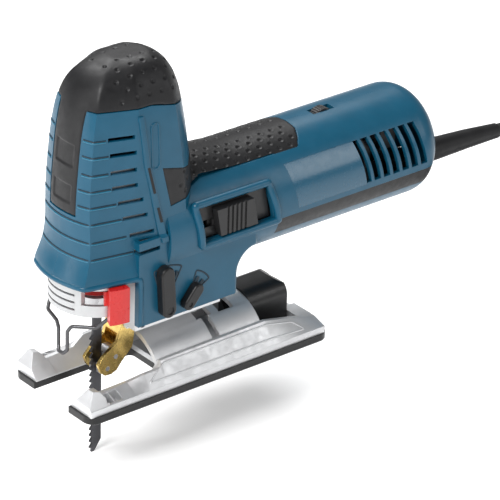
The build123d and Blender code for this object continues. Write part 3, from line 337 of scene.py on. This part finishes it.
def rod(name, points, radius, look, body, closed=False):
    """A round bead that follows points (millimetres)."""
    curve = bpy.data.curves.new(name, "CURVE")
    curve.dimensions = "3D"
    curve.bevel_depth = radius * MM
    curve.bevel_resolution = 3
    curve.resolution_u = 4
    curve.use_fill_caps = True
    spline = curve.splines.new("NURBS" if len(points) > 2 else "POLY")
    spline.points.add(len(points) - 1)
    for p, q in zip(spline.points, points):
        p.co = (q[0] * MM, q[1] * MM, q[2] * MM, 1.0)
    if len(points) > 2:
        spline.order_u = 3
        spline.use_cyclic_u = closed
        spline.use_endpoint_u = not closed
    holder = bpy.data.objects.new(name + "_path", curve)
    scene.collection.objects.link(holder)
    mesh = bpy.data.meshes.new_from_object(holder.evaluated_get(bpy.context.evaluated_depsgraph_get()))
    bpy.data.objects.remove(holder)
    mesh.name = name
    mesh.shade_smooth()
    piece = bpy.data.objects.new(name, mesh)
    scene.collection.objects.link(piece)
    return finish_piece(piece, look, body)


def plate(name, outline, tree, away, height, look, body, step=1.2, sink=0.8):
    """A raised plate: an outline in the side view (x, z) laid on the surface, seen from y = away."""
    mesh = bmesh.new()
    corners = [mesh.verts.new((x, 0.0, z)) for x, z in outline]
    mesh.faces.new(corners)
    bmesh.ops.triangulate(mesh, faces=mesh.faces[:])
    for _ in range(6):
        long_edges = [e for e in mesh.edges if e.calc_length() > step * 2]
        if not long_edges:
            break
        bmesh.ops.subdivide_edges(mesh, edges=long_edges, cuts=1, use_grid_fill=False)
        bmesh.ops.triangulate(mesh, faces=mesh.faces[:])
    for v in mesh.verts:
        place, _ = cast(tree, (v.co.x, away, v.co.z), (v.co.x, 0.0, v.co.z))
        v.co.y = place.y if place is not None else -30.0
    side = 1.0 if away > 0 else -1.0
    top = bmesh.ops.extrude_face_region(mesh, geom=mesh.faces[:])
    moved = [g for g in top["geom"] if isinstance(g, bmesh.types.BMVert)]
    for v in moved:
        v.co.y += side * height
    raised = set(moved)
    for v in mesh.verts:
        if v not in raised:
            v.co.y -= side * sink
    bmesh.ops.recalc_face_normals(mesh, faces=mesh.faces[:])
    for v in mesh.verts:
        v.co *= MM
    data = bpy.data.meshes.new(name)
    mesh.to_mesh(data)
    mesh.free()
    piece = bpy.data.objects.new(name, data)
    scene.collection.objects.link(piece)
    return finish_piece(piece, look, body)


def remeshed(node, voxel, passes):
    """A copy of a node's mesh as even small faces with its edges eased, as (object, points in mm, normals)."""
    data = nodes[node].data.copy()
    piece = bpy.data.objects.new(node + "_moulded", data)
    scene.collection.objects.link(piece)
    grid = piece.modifiers.new("grid", "REMESH")
    grid.mode = "VOXEL"
    grid.voxel_size = voxel * MM
    if passes:
        ease_off = piece.modifiers.new("ease", "SMOOTH")
        ease_off.factor = 0.5
        ease_off.iterations = passes
    made = bpy.data.meshes.new_from_object(piece.evaluated_get(bpy.context.evaluated_depsgraph_get()))
    piece.modifiers.clear()
    piece.data = made
    made.shade_smooth()
    points = np.empty(len(made.vertices) * 3)
    made.vertices.foreach_get("co", points)
    normals = np.array([tuple(n.vector) for n in made.vertex_normals])
    return piece, points.reshape(-1, 3) / MM, normals


def put_points(piece, points):
    piece.data.vertices.foreach_set("co", (points * MM).ravel())
    piece.data.update()


def dimpled(points, normals, seeds, radius, depth):
    """Presses a round dimple into the surface at each seed (place, outward normal)."""
    for place, normal in seeds:
        gap = points - np.array(place)
        along = gap @ np.array(normal)
        near = (np.abs(along) < 1.3) & ((normals @ np.array(normal)) > 0.4)
        across = np.sqrt(np.maximum(0.0, (gap**2).sum(1) - along**2))
        fall = np.clip(1.0 - (across / radius)**2, 0.0, 1.0)
        rim = np.exp(-((across - radius * 1.15) / (0.3 * radius))**2) * 0.12
        points -= np.where(near, depth * (fall - rim), 0.0)[:, None] * np.array(normal)
    return points


def smooth_step(values, low, high):
    t = np.clip((values - low) / (high - low), 0.0, 1.0)
    return t * t * (3 - 2 * t)


# ---- rubber grips: dimples, and the two shallow pads on the front strip ----
knob_tree = tree_of("knob_grip")
seeds = []
for row, angle in enumerate((30, 42, 54, 66, 78)):
    for i in range(6):
        x = -57.0 + 4.2 * (row % 2) + 8.4 * i
        for side in (1, -1):
            a = math.radians(angle)
            place, normal = cast(knob_tree, (x, -side * 60 * math.cos(a), 176 + 60 * math.sin(a)), (x, 0, 176))
            if place is not None and place.z > 188.0 - 0.14 * (x + 50):
                seeds.append((place, normal))
knob, points, normals = remeshed("knob_grip", GRIP_VOXEL, 24)
points = dimpled(points, normals, seeds, DIMPLE_RADIUS, DIMPLE_DEPTH)
front = smooth_step(-points[:, 0], 70.0, 73.0) * (normals[:, 0] < -0.3)
for z0, z1 in ((150.0, 163.0), (128.0, 139.0)):
    pad = (smooth_step(points[:, 2], z0 - 0.5, z0 + 0.5) * (1 - smooth_step(points[:, 2], z1 - 0.5, z1 + 0.5))
           * (1 - smooth_step(np.abs(points[:, 1]), 7.2, 8.2)))
    points[:, 0] += 0.65 * pad * front
put_points(knob, points)
finish_piece(knob, rubber, "housing")
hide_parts("knob_grip")

barrel_tree = tree_of("barrel_grip")
seeds = []
for row, angle in enumerate((57.5, 65.5, 73.5, 81.5)):
    for i in range(12):
        x = -19.0 + 4.0 * (row % 2) + 8.0 * i
        for side in (1, -1):
            a = math.radians(angle)
            place, normal = cast(barrel_tree, (x, -side * 60 * math.cos(a), BARREL_Z + 60 * math.sin(a)), (x, 0, BARREL_Z))
            if place is not None and x < 75.0 and abs(normal.x) < 0.3:
                seeds.append((place, normal))
for x, z in ((-18, 139), (-14.5, 133), (-21, 131), (-17, 126.5)):
    for side in (1, -1):
        place, normal = cast(barrel_tree, (x, -side * 60, z), (x, 0, z))
        if place is not None:
            seeds.append((place, normal))
grip, points, normals = remeshed("barrel_grip", GRIP_VOXEL, 2)
points = dimpled(points, normals, seeds, DIMPLE_RADIUS, DIMPLE_DEPTH)
lift = (1 - smooth_step(points[:, 0], -8.0, 38.0)) * smooth_step(points[:, 0], -14.0, -8.0)
high = smooth_step(points[:, 2], 118.0, 131.0)
points[:, 2] += 4.5 * lift * high
put_points(grip, points)
finish_piece(grip, rubber, "housing")
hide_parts("barrel_grip")

# ---- raised details of the blue housing ----
SIDES = (("near", -80.0), ("far", 80.0))
shell_tree = tree_of("housing_left", "housing_right", "knob_grip", "barrel_grip",
                     "label_plate_left", "label_plate_right")


def on_side(x, z, away=-80.0, lift=0.0):
    place, normal = cast(shell_tree, (x, away, z), (x, 0.0, z))
    if place is None:
        return Vector((x, -30.0, z))
    return place + normal * lift


def side_path(corners, away=-80.0, lift=0.0, step=2.5, closed=False):
    """Points along straight runs in the side view, laid on the surface."""
    out = []
    loop = list(corners) + ([corners[0]] if closed else [])
    for (x0, z0), (x1, z1) in zip(loop, loop[1:]):
        count = max(1, int(math.hypot(x1 - x0, z1 - z0) / step))
        for i in range(count):
            out.append(on_side(x0 + (x1 - x0) * i / count, z0 + (z1 - z0) * i / count, away, lift))
    if not closed:
        out.append(on_side(*corners[-1], away, lift))
    return out


frame_outline = [(-11.5, 115.5), (42.0, 115.0), (48.5, 90.0), (-7.5, 89.5)]
rod("switch_frame", [Vector((p.x, min(p.y, -31.2) - 0.6, p.z)) for p in side_path(frame_outline, closed=True)],
    2.3, blue, "housing", closed=True)
groove_look = material("groove_shadow", (0.002, 0.018, 0.033), 0.6, grain=(1500.0, 0.01), mottle=0.05, bevel=0)
# A lighter copy of the blue plastic for the beads under the grooves: painted highlight.
ridge_highlight_look = material("ridge_painted_highlight", (0.012, 0.13, 0.215), 0.33, grain=(2600.0, 0.015), mottle=0.05, bevel=0)
# Near-black for the two slots in each facet band: painted shade inside the slot openings, laid on as thin plates.
slot_painted_shade = material("slot_painted_shade", (0.004, 0.004, 0.005), 0.7, grain=(1500.0, 0.01), mottle=0.1, bevel=0)
for word, away in SIDES:
    band = [(-49.8, 180), (-46.6, 180), (-43.4, 151), (-30.3, 99.5), (-35.0, 99.5), (-46.8, 151)]
    plate(f"facet_band_{word}", band, shell_tree, away, 1.0, blue, "housing")
    # The two slots are thin dark plates of painted shade.
    for k, (x0, z0, x1, z1) in enumerate(((-44.3, 148.5, -40.0, 131.5), (-37.6, 122.0, -34.8, 112.0))):
        plate(f"band_slot_{word}_{k}", [(x0 - 0.7, z0), (x0 + 1.0, z0), (x1 + 1.0, z1), (x1 - 0.7, z1)],
              shell_tree, away, 1.15, slot_painted_shade, "housing")
    pill = []
    for i in range(24):
        a = 2 * math.pi * i / 24
        pill.append((-38.6 + 2.7 * math.cos(a), (160.0 + (11.0 if math.sin(a) > 0 else -11.0) + 2.7 * math.sin(a))))
    rod(f"pill_{word}", [on_side(x, z, away, 0.1) for x, z in pill], 0.45, blue, "housing",
        closed=True)

# Fine grooves that carry on from the vents round the front of the column, drawn as dark beads of painted groove shadow,
# each with a lighter blue bead under it that is a painted highlight on the groove's lower lip.
groove_levels = [(97.0, -49.0), (107.2, -50.0), (118.6, -53.0), (128.9, -58.0), (138.7, -62.0), (148.4, -64.0),
                 (158.9, -65.0), (168.4, -66.0)]
for k, (z, x_end) in enumerate(groove_levels):
    full = z < 120  # the lower three go right round the front; the others stop at the rubber strip
    gap = 0 if full else 22
    for side in (-1, 1):
        path = []
        for i in range(25):
            a = math.radians(180 - gap - (100 - gap) * i / 24)
            far_point = (COLUMN_X + 90 * math.cos(a), side * 90 * math.sin(a), z)
            place, normal = cast(shell_tree, far_point, (COLUMN_X, 0, z))
            if place is not None and place.x < x_end and (full or abs(place.y) > 13.0):
                path.append(place + normal * 0.05)
        if len(path) > 3:
            word = "near" if side < 0 else "far"
            rod(f"groove_{k}_{word}", path, 0.42, groove_look, "housing")
            # The lighter bead under each groove is a painted highlight.
            below = [p - Vector((0, 0, 1.1)) for p in path]
            rod(f"ridge_{k}_{word}", below, 0.5, ridge_highlight_look, "housing")

# Lip round the lower edge of the column and down the front edge of the leg.
lip = []
for i in range(33):
    a = math.radians(180 - 128 * i / 32)
    place, _ = cast(shell_tree, (COLUMN_X + 90 * math.cos(a), -90 * math.sin(a), 81.0), (COLUMN_X, 0, 81.0))
    if place is not None and place.x < -50:
        lip.append(Vector((place.x + 0.6, place.y + 0.6, 80.6)))
for side, word in ((1, "near"), (-1, "far")):
    rim = [Vector((p.x, p.y * side, p.z)) for p in lip]
    rim += [Vector((x, y * side, z)) for x, y, z in ((-49.5, -31.4, 79.5), (-49.2, -31.2, 75.0), (-49.2, -31.2, 52.0))]
    rod(f"opening_lip_{word}", rim, 1.7, blue, "housing")

# Plain fan-shaped scales behind the two levers.
LEVER_SCALES = (("orbit_fan", (-32.5, 57.5), 26.0, 62, 108, 4),
                ("blower_fan", (-15.0, 58.0), 17.0, 30, 72, 2))  # name, pivot, reach, from, to, marks
for name, centre, reach, a0, a1, marks in LEVER_SCALES:
    arc = [(centre[0] + reach * math.cos(math.radians(a0 + (a1 - a0) * i / 10)),
            centre[1] + reach * math.sin(math.radians(a0 + (a1 - a0) * i / 10))) for i in range(11)]
    inner = [(centre[0] + 9 * math.cos(math.radians(a)), centre[1] + 9 * math.sin(math.radians(a))) for a in (a1, a0)]
    rod(name, side_path(arc + inner, closed=True, lift=-0.1), 0.55, groove_look, "housing", closed=True)
    for i in range(marks):
        a = math.radians(a0 + (a1 - a0) * (i + 0.5) / marks)
        spots = [(centre[0] + (reach - 7.5) * math.cos(a), centre[1] + (reach - 7.5) * math.sin(a)),
                 (centre[0] + (reach - 3.5) * math.cos(a), centre[1] + (reach - 3.5) * math.sin(a))]
        rod(f"{name}_mark_{i}", [on_side(*q, lift=0.1) for q in spots], 1.1, groove_look, "housing")

# ---- base: a raised outline on each rail ----
base_tree = tree_of("base_plate")


def on_rail(x, y, lift=0.0):
    place, normal = cast(base_tree, (x, y, 80.0), (x, y, 0.0))
    return (place + normal * lift) if place is not None else None


for side, word in ((-1, "near"), (1, "far")):
    corners = [(-30, 29.0), (66, 29.0), (72, 34.0), (-44, 34.0)]
    outline = []
    for (x0, y0), (x1, y1) in zip(corners, corners[1:] + corners[:1]):
        count = max(2, int(math.hypot(x1 - x0, y1 - y0) / 3))
        for i in range(count):
            place = on_rail(x0 + (x1 - x0) * i / count, side * (y0 + (y1 - y0) * i / count), 0.05)
            if place is not None:
                outline.append(place)
    rod(f"rail_bead_{word}", outline, 0.5, die_cast, "base", closed=True)
